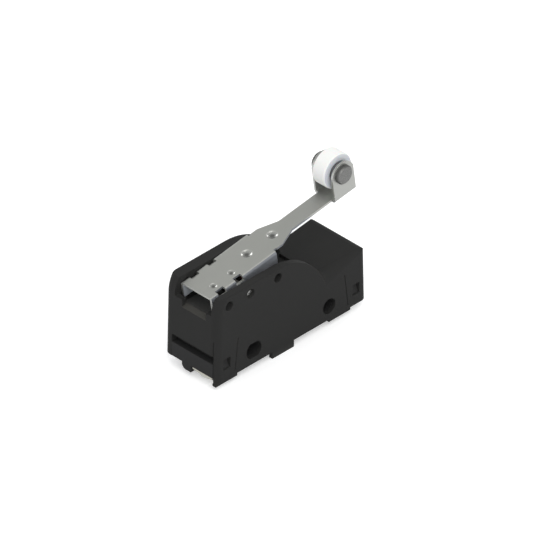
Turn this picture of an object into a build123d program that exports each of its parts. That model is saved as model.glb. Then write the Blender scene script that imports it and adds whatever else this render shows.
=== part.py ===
from build123d import *
from math import atan, cos, radians, sin
import os

# Snap-action switch with a hinged roller lever.
# The origin is the centre of the round fixing hole, on the middle plane of the case.
# +X runs along the case towards the roller, +Y along the fixing holes, +Z up.

# case
case_length = 51.0
case_width = 17.5
hole_pitch = 25.4
hole_radius = 2.1
slot_radius = 2.5
case_mid = -hole_pitch / 2
wall_bottom = -3.9
end_draft = 1.4
corner_radius = 1.9

# cheeks beside the lever
cheek_top = 19.5
cheek_front_thickness = 2.05
cheek_back_thickness = 3.25
cheek_edge_radius = 0.4
cheek_bend_height = 4.6
cheek_bend_reach = 1.4
hump_centre_x = -5.4
hump_radius = 18.0

# block behind the lever
block_start_x = 10.1
block_start_height = 9.6
block_end_height = 11.65
block_nose_radius = 2.0
block_edge_wide = 3.6
block_edge_narrow = 0.9
block_edge_back = 0.5

# lever well
end_wall = 1.5
end_wall_top = 15.0
sill_inner = 13.6
sill_outer = 12.9
sill_back_y = 3.0
sill_front_y = -5.0
well_floor = 12.6
recess_start_x = 1.5
recess_floor = 8.6
floor_thickness = 2.2
recess_thickness = 1.0

# holes for the hinge pin, one in use
pin_hole_radius = 1.25
pin_depth = 2.68
hinge_x = -13.75
near_hole_x = -4.6
end_hole_inset = 4.5
pin_radius = 1.2
pin_recess = 0.85

# lower wall, snap legs and tabs
leg_thickness = 1.1
back_wall_thickness = 2.5
back_wall_bottom = -2.6
base_ceiling = 3.7
tab_length = 7.3
left_tab_inset = 3.55
middle_tab_x = -2.85
right_tab_inset = 9.25
outer_tab_bottom = -4.6
middle_tab_bottom = -5.8
slit_width = 0.22
slit_top = 6.1
slit_bottom = -2.75
slit_top_inset = 7.5
slit_bottom_inset = 6.4
leg_relief = 0.2
leg_relief_top = 7.6
window_inset = 3.7
window_length = 2.4
window_bottom = -1.0
window_height = 3.1

# base
fit_gap = 0.05
base_bottom = -2.6
base_top = 3.2
base_step = 1.5
base_step_length = 2.0
trough_floor = 1.9
rib_front_y = -0.25
rib_thickness = 3.0
rib_bottom = -4.45
rib_radius = 1.3
hook_reach = 0.7

# space for the contacts
cavity_wall = 3.35
cavity_end_gap = 2.6

# terminals, screws and clamp plates
strip_thickness = 0.6
common_inset = 3.5
closed_inset = 8.1
plate_length = 6.6
plate_gap = 0.4
riser_reach = 3.15
common_riser_reach = 3.7
strip_back_y = 1.6
thread_radius = 1.7
clamp_margin = 0.2
clamp_thickness = 0.5
head_height = 0.8
screw_top = 0.9
cross_slot = 0.9

# blade and contacts
blade_height = 5.9
blade_thickness = 0.3
blade_width = 4.6
blade_tail = 1.3
contact_x = 3.5
contact_radius = 1.3
contact_height = 0.5
contact_gap = 0.07
open_contact_top = 3.1
window_start_x = -15.5
window_end_x = -9.5
spring_thickness = 0.2
spring_rise = 1.5

# plunger under the lever
plunger_x = -6.45
plunger_radius = 1.75
plunger_gap = 0.1
plunger_collar = 0.8
bush_height = 1.5
bush_wall = 1.4

# lever, one folded sheet
sheet = 0.6
lever_height = 21.55
lever_slope = 0.1396
lever_end_gap = 2.1
channel_clearance = 0.3
flange_depth = 4.6
flange_end_x = -1.6
bend_radius = 0.8
flange_corner_radius = 0.7
notch_half_width = 3.8
notch_spans = [(-21.0, -18.4), (-15.1, -12.7)]
notch_depth = 1.3
relief_length = 0.9
relief_half_width = 4.1
tongue_half_width = 4.3
tongue_end_x = 1.3
taper_end_x = 6.6
arm_half_width = 2.3
large_dimple_radius = 1.5
large_dimple_x = [plunger_x, 2.15]
large_dimple_depth = 0.5
small_dimple_radius = 1.0
small_dimple_x = [-19.6, -13.6]
small_dimple_y = -1.95
small_dimple_depth = 0.3

# fork and roller
roller_x = 22.3
roller_rise = 9.8
roller_radius = 4.72
roller_width = 4.0
roller_hub_radius = 2.6
roller_edge = 0.35
ear_back_length = 3.3
ear_front_length = 3.75
ear_gap = 5.9
ear_top = 3.1
ear_shoulder = 0.3
roller_pin_radius = 1.5
roller_play = 0.05
rivet_head_radius = 2.5
rivet_head_height = 1.15

# planes with the middle of the case as their origin
case_origin = (case_mid, 0, 0)
side_view = Plane(origin=case_origin, x_dir=(1, 0, 0), z_dir=(0, -1, 0))
top_view = Plane(origin=case_origin)
end_view = Plane(origin=case_origin, x_dir=(0, 1, 0), z_dir=(1, 0, 0))

half_length = case_length / 2
half_width = case_width / 2
end_lean = sin(radians(end_draft))
well_front_y = cheek_front_thickness - half_width
well_back_y = half_width - cheek_back_thickness
cavity_half_width = half_width - cavity_wall
cavity_top = well_floor - floor_thickness
low_cavity_top = recess_floor - recess_thickness
base_front_y = -half_width + leg_thickness
base_back_y = half_width - back_wall_thickness
tab_middles = [-half_length + left_tab_inset, middle_tab_x, half_length - right_tab_inset]
tab_bottoms = [outer_tab_bottom, middle_tab_bottom, outer_tab_bottom]
window_x = half_length - window_inset
pin_hole_height = lever_height + lever_slope * hinge_x - pin_depth
pin_hole_x = [-half_length + end_hole_inset, hinge_x, near_hole_x]
plate_front_y = base_front_y + plate_gap
plate_back_y = rib_front_y - plate_gap
plate_width = plate_back_y - plate_front_y
terminal_y = (plate_front_y + plate_back_y) / 2
clamp_side = plate_width - 2 * clamp_margin
head_radius = clamp_side / 2
terminal_x = {"common": -half_length + common_inset, "open": middle_tab_x,
              "closed": half_length - closed_inset}
riser_x = {"common": terminal_x["common"] + common_riser_reach, "open": middle_tab_x + riser_reach,
           "closed": terminal_x["closed"] + riser_reach}
riser_front_y = terminal_y
riser_back_y = plate_back_y
lever_left_x = -half_length + lever_end_gap
channel_half_width = well_back_y - channel_clearance
roller_height = lever_height + roller_rise
head_bottom = base_bottom - strip_thickness - clamp_thickness - head_height


def end_x(height):
    """Half length of the case at a height: the ends lean in towards the top."""
    return half_length - end_lean * height


def block_height(x):
    """Height of the block's top: a straight ramp that rises from the well to the end."""
    rise = (block_end_height - block_start_height) / (end_x(block_end_height) - block_start_x)
    return block_start_height + rise * (x - block_start_x)


def fixing_holes():
    """Round hole at +X and double-D slot at -X, seen from the side."""
    with Locations((hole_pitch / 2, 0)):
        Circle(hole_radius)
    with Locations((-hole_pitch / 2, 0)):
        add(slot_face)


with BuildSketch() as slot_outline:
    Circle(slot_radius)
    Rectangle(2 * slot_radius, 2 * hole_radius, mode=Mode.INTERSECT)
slot_face = slot_outline.sketch

# housing: left part with the cheeks, right part with the sloped block, then all the cuts
hump_low = cheek_top - hump_radius
hump_end_x = hump_centre_x + hump_radius
with BuildPart() as cheek_part:
    with BuildSketch(side_view):
        with BuildLine():
            bend_start = cheek_top - cheek_bend_height
            outer_x = -end_x(bend_start)
            foot_x = -end_x(wall_bottom)
            bend_end = (outer_x + cheek_bend_reach, cheek_top)
            Line((foot_x, wall_bottom), (outer_x, bend_start))
            TangentArc((outer_x, bend_start), bend_end, tangent=(end_lean, 1))
            Line(bend_end, (hump_centre_x, cheek_top))
            TangentArc((hump_centre_x, cheek_top), (hump_end_x, hump_low), tangent=(1, 0))
            Polyline((hump_end_x, hump_low), (hump_end_x, wall_bottom), (foot_x, wall_bottom))
        make_face()
    extrude(amount=half_width, both=True)
    sides = cheek_part.edges().filter_by(lambda e: abs(abs(e.center().Y) - half_width) < 0.01)
    corners = sides.filter_by(lambda e: e.bounding_box().max.X < case_mid + bend_end[0] + 0.01)
    fillet(corners.filter_by(lambda e: e.length > cheek_bend_height), corner_radius)
    rims = cheek_part.faces().filter_by(Axis.Z).sort_by(Axis.Z)[-1].edges()
    fillet(rims.filter_by(lambda e: e.center().X < case_mid + hump_centre_x - 0.01), cheek_edge_radius)
    # the well between the cheeks, with a lower recess in front of the block
    with BuildSketch(side_view.offset(-well_back_y)):
        with BuildLine():
            well_left = -end_x(well_floor) + end_wall
            sill_left = -half_length - 1
            Polyline((sill_left, cheek_top + 1), (sill_left, end_wall_top), (well_left, end_wall_top),
                     (well_left, well_floor), (recess_start_x, well_floor),
                     (recess_start_x, recess_floor), (hump_end_x, recess_floor),
                     (hump_end_x, cheek_top + 1), (sill_left, cheek_top + 1))
        make_face()
    extrude(amount=well_back_y - well_front_y, mode=Mode.SUBTRACT)


def edge_profile(x, height, radius):
    """Waste at the top edge of the block: a square corner less a round of the given radius."""
    spill = 1.0
    with BuildSketch(end_view.offset(x)) as profile:
        with BuildLine():
            inner = (half_width - radius, height)
            outer = (half_width, height - radius)
            RadiusArc(outer, inner, -radius)
            Polyline(inner, (inner[0], height + spill), (half_width + spill, height + spill),
                     (half_width + spill, outer[1]), outer)
        make_face()
    return profile.sketch


def block_edge(start_radius, end_radius):
    """Waste along the whole top edge of the block, from its start to just past the end."""
    margin = 0.6
    with BuildPart() as waste:
        for x, radius in ((block_start_x - margin, start_radius), (half_length + margin, end_radius)):
            add(edge_profile(x, block_height(x) + fit_gap / 2, radius))
        loft(ruled=True)
    return waste.part


with BuildSketch(side_view) as block_outline:
    with BuildLine():
        top_x = end_x(block_end_height)
        foot_x = end_x(wall_bottom)
        Polyline((block_start_x, wall_bottom), (block_start_x, block_start_height),
                 (top_x, block_end_height), (foot_x, wall_bottom), (block_start_x, wall_bottom))
    make_face()
with BuildSketch(side_view) as nosed_outline:
    add(block_outline.sketch_local)
    fillet(nosed_outline.vertices().sort_by(Axis.Y)[-1], block_nose_radius)
with BuildPart() as block_part:
    extrude(block_outline.sketch, amount=half_width, both=True)
    corners = block_part.edges().filter_by(lambda e: abs(abs(e.center().Y) - half_width) < 0.01)
    corners = corners.filter_by(lambda e: e.bounding_box().min.X > case_mid + top_x - 0.01)
    fillet(corners, corner_radius)
    extrude(nosed_outline.sketch, amount=half_width + 1, both=True, mode=Mode.INTERSECT)
    # the front edge is wide and soft, the back edge tight
    add(block_edge(block_edge_back, block_edge_back), mode=Mode.SUBTRACT)
    add(mirror(block_edge(block_edge_wide, block_edge_narrow), about=Plane.XZ), mode=Mode.SUBTRACT)


def slit(side):
    """Slanted slit beside a snap leg, with a small round hole at each end, seen from the side."""
    with BuildSketch(side_view.offset(half_width + 1)) as cut:
        with BuildLine():
            upper = (side * (half_length - slit_top_inset), slit_top)
            lower = (side * (half_length - slit_bottom_inset), slit_bottom)
            Line(upper, lower)
        trace(line_width=slit_width)
        with Locations(upper, lower):
            Circle(0.9 * slit_width)
    return cut.sketch


with BuildPart() as housing:
    add(cheek_part.part)
    add(block_part.part)
    # the sloped sill in the end wall
    with BuildSketch(side_view.offset(-sill_back_y)):
        with BuildLine():
            Polyline((sill_left, sill_outer), (-end_x(sill_outer), sill_outer), (well_left, sill_inner),
                     (well_left, cheek_top), (sill_left, cheek_top), (sill_left, sill_outer))
        make_face()
    extrude(amount=sill_back_y - sill_front_y, mode=Mode.SUBTRACT)
    # a collar that guides the plunger
    with BuildSketch(top_view.offset(cavity_top)):
        with Locations((plunger_x, 0)):
            Circle(plunger_radius + bush_wall)
    extrude(amount=floor_thickness + bush_height)
    # seat of the base, open at both ends, and the space for the contacts above it
    seat_width = base_back_y - base_front_y
    with BuildSketch(top_view.offset(wall_bottom)):
        with Locations((0, (base_back_y + base_front_y) / 2)):
            Rectangle(case_length + 2, seat_width)
    extrude(amount=base_ceiling - wall_bottom, mode=Mode.SUBTRACT)
    with BuildSketch(side_view):
        with BuildLine():
            cavity_end = end_x(base_ceiling) - cavity_end_gap
            step_x = recess_start_x - recess_thickness
            Polyline((-cavity_end, base_ceiling), (-cavity_end, cavity_top), (step_x, cavity_top),
                     (step_x, low_cavity_top), (cavity_end, low_cavity_top),
                     (cavity_end, base_ceiling), (-cavity_end, base_ceiling))
        make_face()
    extrude(amount=cavity_half_width, both=True, mode=Mode.SUBTRACT)
    # the back wall is shorter, and the front wall has three tabs
    with BuildSketch(top_view.offset(wall_bottom)):
        with Locations((0, half_width)):
            Rectangle(case_length + 2, 2 * back_wall_thickness)
    extrude(amount=back_wall_bottom - wall_bottom, mode=Mode.SUBTRACT)
    for tab_middle, tab_bottom in zip(tab_middles, tab_bottoms):
        with BuildSketch(top_view.offset(wall_bottom)):
            with Locations((tab_middle, -half_width)):
                Rectangle(tab_length, leg_thickness, align=(Align.CENTER, Align.MIN))
        extrude(amount=tab_bottom - wall_bottom)
    # holes and windows through both walls, and the slits of the snap legs in the front one
    with BuildSketch(side_view):
        fixing_holes()
        with Locations([(x, pin_hole_height) for x in pin_hole_x]):
            Circle(pin_hole_radius)
        for side in (-1, 1):
            with Locations((side * window_x, window_bottom + window_height / 2)):
                Rectangle(window_length, window_height)
    extrude(amount=half_width + 1, both=True, mode=Mode.SUBTRACT)
    for side in (-1, 1):
        add(extrude(slit(side), amount=-(1 + leg_thickness + leg_relief), mode=Mode.PRIVATE),
            mode=Mode.SUBTRACT)
    # a thin gap frees the back of each snap leg, from the slit to the end of the case
    for side in (-1, 1):
        with BuildSketch(top_view.offset(base_ceiling)):
            with Locations((side * (half_length + 1), base_front_y)):
                Rectangle(slit_top_inset + 1, leg_relief,
                          align=(Align.MAX if side > 0 else Align.MIN, Align.MIN))
        extrude(amount=leg_relief_top - base_ceiling, mode=Mode.SUBTRACT)
    with Locations(Plane.XY.offset(cavity_top - 1)):
        with Locations((case_mid + plunger_x, 0)):
            Cylinder(plunger_radius + fit_gap, floor_thickness + bush_height + 2,
                     align=(Align.CENTER, Align.CENTER, Align.MIN), mode=Mode.SUBTRACT)
housing.part.label = "housing"

# base: plate with a step at each end, a trough, an insulating rib and four snap hooks
with BuildPart() as terminal_base:
    base_front = base_front_y + fit_gap
    base_back = base_back_y - fit_gap
    base_end = end_x(base_bottom) - fit_gap
    with BuildSketch(side_view.offset(-base_back)):
        with BuildLine():
            step_start = base_end - base_step_length
            Polyline((-base_end, base_bottom), (-base_end, base_step), (-step_start, base_step),
                     (-step_start, base_top), (step_start, base_top), (step_start, base_step),
                     (base_end, base_step), (base_end, base_bottom), (-base_end, base_bottom))
        make_face()
    extrude(amount=base_back - base_front)
    # trough under the contacts, between the two fixing holes
    trough_half = hole_pitch / 2 - slot_radius - 0.8
    with BuildSketch(top_view.offset(trough_floor)):
        Rectangle(2 * trough_half, 2 * cavity_half_width)
    extrude(amount=base_top, mode=Mode.SUBTRACT)
    # rib between the terminals and the back, deeper in the middle
    with BuildSketch(end_view.offset(-base_end)):
        with BuildLine():
            rib_back_y = rib_front_y + rib_thickness
            Polyline((rib_back_y, rib_bottom + rib_radius), (rib_back_y, base_bottom),
                     (rib_front_y, base_bottom), (rib_front_y, rib_bottom),
                     (rib_back_y - rib_radius, rib_bottom))
            RadiusArc((rib_back_y - rib_radius, rib_bottom), (rib_back_y, rib_bottom + rib_radius), -rib_radius)
        make_face()
    extrude(amount=2 * base_end)
    with BuildSketch(top_view.offset(rib_bottom + rib_radius)):
        with Locations((middle_tab_x, rib_front_y + rib_thickness / 2)):
            Rectangle(tab_length, rib_thickness)
    extrude(amount=middle_tab_bottom - rib_bottom - rib_radius)
    for side in (-1, 1):
        hook_x = side * window_x
        for wall_y, out in ((base_front, -1), (base_back, 1)):
            reach = hook_reach + (back_wall_thickness - leg_thickness if out > 0 else 0)
            with BuildSketch(end_view.offset(hook_x - window_length / 2 + 2 * fit_gap)):
                with BuildLine():
                    hook_low = window_bottom + 2 * fit_gap
                    hook_high = hook_low + 0.6 * window_height
                    Polyline((wall_y, hook_low), (wall_y + out * reach, hook_low),
                             (wall_y, hook_high), (wall_y, hook_low))
                make_face()
            extrude(amount=window_length - 4 * fit_gap)
    # fixing holes, clearance holes of the screws and slots of the risers
    with BuildSketch(side_view):
        fixing_holes()
    extrude(amount=half_width, both=True, mode=Mode.SUBTRACT)
    for name, x in terminal_x.items():
        with BuildSketch(top_view.offset(base_bottom)):
            with Locations((x, terminal_y)):
                Circle(thread_radius + 4 * fit_gap)
        extrude(amount=screw_top - base_bottom + 2 * fit_gap, mode=Mode.SUBTRACT)
    for name, x in riser_x.items():
        with BuildSketch(top_view.offset(base_bottom)):
            with Locations((x, (riser_front_y + riser_back_y) / 2)):
                Rectangle(strip_thickness + 2 * fit_gap, riser_back_y - riser_front_y + 2 * fit_gap)
        extrude(amount=base_top - base_bottom, mode=Mode.SUBTRACT)
terminal_base.part.label = "terminal_base"


def terminal_plate(x, reach):
    """Threaded plate under the base; reach is the signed distance from the screw to its far end."""
    near_end = x - plate_length / 2 if reach > 0 else x + plate_length / 2
    far_end = x + reach
    with BuildSketch(top_view.offset(base_bottom)) as plate:
        with Locations(((near_end + far_end) / 2, terminal_y)):
            Rectangle(abs(far_end - near_end), plate_width)
        with Locations((x, terminal_y)):
            Circle(thread_radius + fit_gap, mode=Mode.SUBTRACT)
    extrude(plate.sketch, amount=-strip_thickness)


def riser(x, top):
    """Upright of a terminal, through its slot in the base."""
    with BuildSketch(top_view.offset(base_bottom)) as upright:
        with Locations((x, (riser_front_y + riser_back_y) / 2)):
            Rectangle(strip_thickness, riser_back_y - riser_front_y)
    extrude(upright.sketch, amount=top - base_bottom)


def contact_strip(riser_at, tip, bottom):
    """Level strip of a fixed contact, from the outside of its riser to its tip."""
    outside = riser_at + (strip_thickness / 2 if riser_at > tip else -strip_thickness / 2)
    with BuildSketch(top_view.offset(bottom)) as strip:
        with Locations(((outside + tip) / 2, (riser_front_y + strip_back_y) / 2)):
            Rectangle(abs(outside - tip), strip_back_y - riser_front_y)
    extrude(strip.sketch, amount=strip_thickness)


def contact_head(x, face, height):
    """Slightly crowned contact rivet from its contact face to its strip; a negative height hangs below."""
    crown = 0.12 * height
    with BuildSketch(Plane(origin=(case_mid + x, 0, 0), x_dir=(1, 0, 0), z_dir=(0, -1, 0))) as half:
        with BuildLine():
            foot = face + height
            Polyline((0, face), (contact_radius / 2, face), (contact_radius, face + crown),
                     (contact_radius, foot), (0, foot), (0, face))
        make_face()
    revolve(half.sketch, axis=Axis((case_mid + x, 0, 0), (0, 0, 1)))


# common terminal: its riser ends in a fork that carries the blade
with BuildPart() as common_terminal:
    common_riser = riser_x["common"]
    terminal_plate(terminal_x["common"], common_riser + strip_thickness / 2 - terminal_x["common"])
    riser(common_riser, base_top + fit_gap)
    blade_bottom = blade_height - blade_thickness / 2
    seat = blade_bottom - fit_gap
    with BuildSketch(end_view.offset(common_riser - strip_thickness / 2)):
        with BuildLine():
            fork = blade_width / 2 + 0.3
            prong = blade_tail + 0.1
            prong_top = blade_bottom + 3 * blade_thickness
            fork_bottom = base_top + fit_gap
            Polyline((riser_front_y, fork_bottom), (-fork, fork_bottom + 1), (-fork, prong_top),
                     (-prong, prong_top), (-prong, seat), (prong, seat), (prong, prong_top),
                     (fork, prong_top), (fork, fork_bottom), (riser_front_y, fork_bottom))
        make_face()
    extrude(amount=strip_thickness)
common_terminal.part.label = "common_terminal"

# open terminal: its contact strip lies in the trough of the base, below the blade
with BuildPart() as normally_open_terminal:
    open_riser = riser_x["open"]
    terminal_plate(terminal_x["open"], open_riser + strip_thickness / 2 - terminal_x["open"])
    riser(open_riser, trough_floor + strip_thickness)
    contact_strip(open_riser, contact_x + contact_radius + 0.4, trough_floor)
normally_open_terminal.part.label = "normally_open_terminal"

with BuildPart() as open_contact:
    open_strip_top = trough_floor + strip_thickness
    contact_head(contact_x, open_contact_top, open_strip_top - open_contact_top)
open_contact.part.label = "open_contact"

# closed terminal: its contact strip lies under the ceiling, above the blade
with BuildPart() as normally_closed_terminal:
    closed_riser = riser_x["closed"]
    closed_strip_bottom = low_cavity_top - fit_gap - strip_thickness
    terminal_plate(terminal_x["closed"], closed_riser + strip_thickness / 2 - terminal_x["closed"])
    riser(closed_riser, closed_strip_bottom + strip_thickness)
    contact_strip(closed_riser, contact_x - contact_radius - 0.2, closed_strip_bottom)
normally_closed_terminal.part.label = "normally_closed_terminal"

moving_top = blade_height + blade_thickness / 2 + contact_height
with BuildPart() as closed_contact:
    closed_face = moving_top + contact_gap
    contact_head(contact_x, closed_face, closed_strip_bottom - closed_face)
closed_contact.part.label = "closed_contact"

# blade with a waisted tail in the fork and a window for its spring
with BuildPart() as contact_blade:
    blade_left = common_riser - 3 * strip_thickness / 2
    blade_right = contact_x + contact_radius + 0.2
    with BuildSketch(top_view.offset(blade_bottom)):
        with Locations(((blade_left + blade_right) / 2, 0)):
            RectangleRounded(blade_right - blade_left, blade_width, 0.4)
        waist = 2 * strip_thickness
        for side in (-1, 1):
            with Locations((common_riser, side * (blade_tail + blade_width / 2))):
                Rectangle(waist, blade_width, mode=Mode.SUBTRACT)
        with Locations(((window_start_x + window_end_x) / 2, 0)):
            RectangleRounded(window_end_x - window_start_x, blade_width / 2, 0.2, mode=Mode.SUBTRACT)
        with Locations((contact_x, 0)):
            Circle(contact_radius / 2, mode=Mode.SUBTRACT)
    extrude(amount=blade_thickness)
contact_blade.part.label = "contact_blade"

with BuildPart() as moving_contact:
    with BuildSketch(Plane(origin=(case_mid + contact_x, 0, blade_height), x_dir=(1, 0, 0), z_dir=(0, -1, 0))):
        with BuildLine():
            inner = blade_thickness / 2
            outer = inner + contact_height
            shank = contact_radius / 2 - fit_gap / 2
            crown = 0.12 * contact_height
            Polyline((0, outer), (contact_radius / 2, outer), (contact_radius, outer - crown),
                     (contact_radius, inner), (shank, inner), (shank, -inner), (contact_radius, -inner),
                     (contact_radius, crown - outer), (contact_radius / 2, -outer), (0, -outer), (0, outer))
        make_face()
    revolve(axis=Axis((case_mid + contact_x, 0, 0), (0, 0, 1)))
moving_contact.part.label = "moving_contact"

# bowed spring strip across the blade's window
with BuildPart() as snap_spring:
    with BuildSketch(side_view):
        with BuildLine():
            foot_left = window_start_x + fit_gap + spring_thickness / 2
            foot_right = window_end_x - fit_gap - spring_thickness / 2
            ThreePointArc((foot_left, blade_height), ((foot_left + foot_right) / 2, blade_height + spring_rise),
                          (foot_right, blade_height))
        trace(line_width=spring_thickness)
    extrude(amount=blade_width / 4 - 4 * fit_gap, both=True)
snap_spring.part.label = "snap_spring"


def screw_stack(x):
    """Pan-head terminal screw with a crossed slot, and its square clamp plate."""
    clamp_bottom = base_bottom - strip_thickness - clamp_thickness
    with BuildPart() as screw:
        with BuildSketch(Plane(origin=(case_mid + x, terminal_y, 0), x_dir=(1, 0, 0), z_dir=(0, -1, 0))):
            with BuildLine():
                crown = 0.35 * head_height
                point = thread_radius - 0.3
                Polyline((0, screw_top), (point, screw_top), (thread_radius, screw_top - 0.3),
                         (thread_radius, clamp_bottom), (head_radius, clamp_bottom),
                         (head_radius, head_bottom + crown), (0.9 * head_radius, head_bottom + 0.3 * crown),
                         (0.7 * head_radius, head_bottom), (0, head_bottom), (0, screw_top))
            make_face()
        revolve(axis=Axis((case_mid + x, terminal_y, 0), (0, 0, 1)))
        with BuildSketch(top_view.offset(head_bottom)):
            with Locations((x, terminal_y)):
                Rectangle(1.3 * head_radius, cross_slot)
                Rectangle(cross_slot, 1.3 * head_radius)
        extrude(amount=0.7 * head_height, mode=Mode.SUBTRACT)
    with BuildPart() as clamp:
        with BuildSketch(top_view.offset(clamp_bottom)):
            with Locations((x, terminal_y)):
                RectangleRounded(clamp_side, clamp_side, 0.8)
                Circle(thread_radius + fit_gap, mode=Mode.SUBTRACT)
        extrude(amount=clamp_thickness)
    return screw.part, clamp.part


# plunger: tapered foot on the blade, collar under the ceiling, flat top under the lever's dimple
lever_tilt = atan(lever_slope)
dimple_ball = (large_dimple_radius ** 2 + large_dimple_depth ** 2) / (2 * large_dimple_depth)
dimple_outer = dimple_ball + sheet
ball_x = plunger_x - (dimple_ball - large_dimple_depth) * sin(lever_tilt)
ball_z = lever_height + lever_slope * plunger_x + (dimple_ball - large_dimple_depth) * cos(lever_tilt)
plunger_top = ball_z - dimple_outer - plunger_gap
with BuildPart() as plunger:
    with BuildSketch(Plane(origin=(case_mid + plunger_x, 0, 0), x_dir=(1, 0, 0), z_dir=(0, -1, 0))):
        with BuildLine():
            foot = blade_height + blade_thickness / 2 + plunger_gap
            tip_radius = 0.6 * plunger_radius
            tip_flat = 0.4 * tip_radius
            collar_top = cavity_top - 2 * fit_gap
            collar_low = collar_top - plunger_collar
            collar_radius = plunger_radius + plunger_collar
            Polyline((0, foot), (tip_flat, foot), (tip_radius, foot + tip_radius - tip_flat),
                     (tip_radius, collar_low), (collar_radius, collar_low),
                     (collar_radius, collar_top), (plunger_radius, collar_top),
                     (plunger_radius, plunger_top - 0.4), (plunger_radius - 0.4, plunger_top),
                     (0, plunger_top), (0, foot))
        make_face()
    revolve(axis=Axis((case_mid + plunger_x, 0, 0), (0, 0, 1)))
plunger.part.label = "plunger"

# lever: channel with two flanges, notches, tongue, tapered arm and a fork of two ears
lever_plane = Plane(origin=(case_mid, 0, lever_height), x_dir=(cos(lever_tilt), 0, sin(lever_tilt)),
                    z_dir=(-sin(lever_tilt), 0, cos(lever_tilt)))
lever_side = Plane(origin=lever_plane.origin, x_dir=lever_plane.x_dir, z_dir=(0, -1, 0))
lever_section = Plane(origin=lever_plane.origin, x_dir=(0, 1, 0), z_dir=lever_plane.x_dir)


def along(x):
    """Distance along the lever's sheet for a place along the case."""
    return x / cos(lever_tilt)


def folded_section(at, length, half_outer, depth):
    """Bent channel in the lever's section: depth below zero folds down, above zero folds up."""
    down = depth < 0
    face = 0 if down else -sheet
    turn = -1 if down else 1
    inner_radius = bend_radius - sheet
    with BuildSketch(lever_section.offset(at)) as section:
        with BuildLine():
            corner_y = half_outer - bend_radius
            Line((0, face), (corner_y, face))
            TangentArc((corner_y, face), (half_outer, face + turn * bend_radius), tangent=(1, 0))
            Polyline((half_outer, face + turn * bend_radius), (half_outer, depth),
                     (half_outer - sheet, depth), (half_outer - sheet, face + turn * bend_radius))
            TangentArc((half_outer - sheet, face + turn * bend_radius),
                       (corner_y, face + turn * sheet), tangent=(0, -turn))
            Polyline((corner_y, face + turn * sheet), (0, face + turn * sheet), (0, face))
        make_face()
        mirror(about=Plane.YZ)
    extrude(section.sketch, amount=length)


pin_u = (roller_x * cos(lever_tilt) + (roller_height - lever_height) * sin(lever_tilt))
pin_w = (roller_height - lever_height) * cos(lever_tilt) - roller_x * sin(lever_tilt)
ear_start = pin_u - ear_back_length
ear_end = pin_u + ear_front_length
ear_outer = ear_gap / 2 + sheet
with BuildPart() as lever:
    channel_start = along(lever_left_x)
    channel_end = along(flange_end_x)
    folded_section(channel_start, channel_end - channel_start, channel_half_width, -flange_depth)
    flange_corners = lever.edges().filter_by(Axis.Y).filter_by(lambda e: abs(e.length - sheet) < 0.01)
    fillet(flange_corners, flange_corner_radius)
    # tongue, taper and arm
    with BuildSketch(lever_plane):
        with BuildLine():
            Polyline((channel_end - 1, 0), (channel_end - 1, relief_half_width),
                     (channel_end + relief_length, relief_half_width),
                     (channel_end + relief_length, tongue_half_width), (along(tongue_end_x), tongue_half_width),
                     (along(taper_end_x), arm_half_width), (ear_start + 1, arm_half_width), (ear_start + 1, 0),
                     (channel_end - 1, 0))
        make_face()
        mirror(about=Plane.XZ)
    extrude(amount=-sheet)
    # fork, its ears rounded about the roller's pin
    folded_section(ear_start, ear_end - ear_start, ear_outer, pin_w + ear_top)
    with BuildSketch(lever_side):
        with BuildLine():
            shoulder = pin_w + ear_shoulder
            cut_top = pin_w + ear_top + 1
            ThreePointArc((ear_start, shoulder), ((ear_start + ear_end) / 2, pin_w + ear_top), (ear_end, shoulder))
            Polyline((ear_end, shoulder), (ear_end + 1, shoulder), (ear_end + 1, cut_top),
                     (ear_start - 1, cut_top), (ear_start - 1, shoulder), (ear_start, shoulder))
        make_face()
    extrude(amount=ear_outer + 1, both=True, mode=Mode.SUBTRACT)
    # notches in the web and holes for both pins
    for notch_left, notch_right in notch_spans:
        notch = along(notch_right) - along(notch_left)
        with BuildSketch(lever_plane):
            for side in (-1, 1):
                with Locations((along(notch_left) + notch / 2, side * channel_half_width)):
                    Rectangle(notch, 2 * (channel_half_width - notch_half_width))
        extrude(amount=-notch_depth, mode=Mode.SUBTRACT)
    with BuildSketch(side_view):
        with Locations((hinge_x, pin_hole_height)):
            Circle(pin_hole_radius)
        with Locations((roller_x, roller_height)):
            Circle(roller_pin_radius + fit_gap / 2)
    extrude(amount=channel_half_width + 1, both=True, mode=Mode.SUBTRACT)
    # dimples pressed down into the web
    small_ball = (small_dimple_radius ** 2 + small_dimple_depth ** 2) / (2 * small_dimple_depth)
    dimples = [(x, 0, dimple_ball, large_dimple_depth) for x in large_dimple_x]
    dimples += [(x, small_dimple_y, small_ball, small_dimple_depth) for x in small_dimple_x]
    for x, y, ball, depth in dimples:
        centre = lever_plane.from_local_coords((along(x), y, ball - depth))
        with BuildPart(mode=Mode.PRIVATE) as bump:
            with Locations(centre):
                Sphere(ball + sheet)
            split(bisect_by=lever_plane.offset(-sheet / 2), keep=Keep.BOTTOM)
        add(bump.part)
        with Locations(centre):
            Sphere(ball, mode=Mode.SUBTRACT)
lever.part.label = "lever"

with BuildPart() as hinge_pin:
    with BuildSketch(side_view):
        with Locations((hinge_x, pin_hole_height)):
            Circle(pin_radius)
    extrude(amount=half_width - pin_recess, both=True)
    chamfer(hinge_pin.edges().filter_by(GeomType.CIRCLE), 0.25)
hinge_pin.part.label = "hinge_pin"

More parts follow.
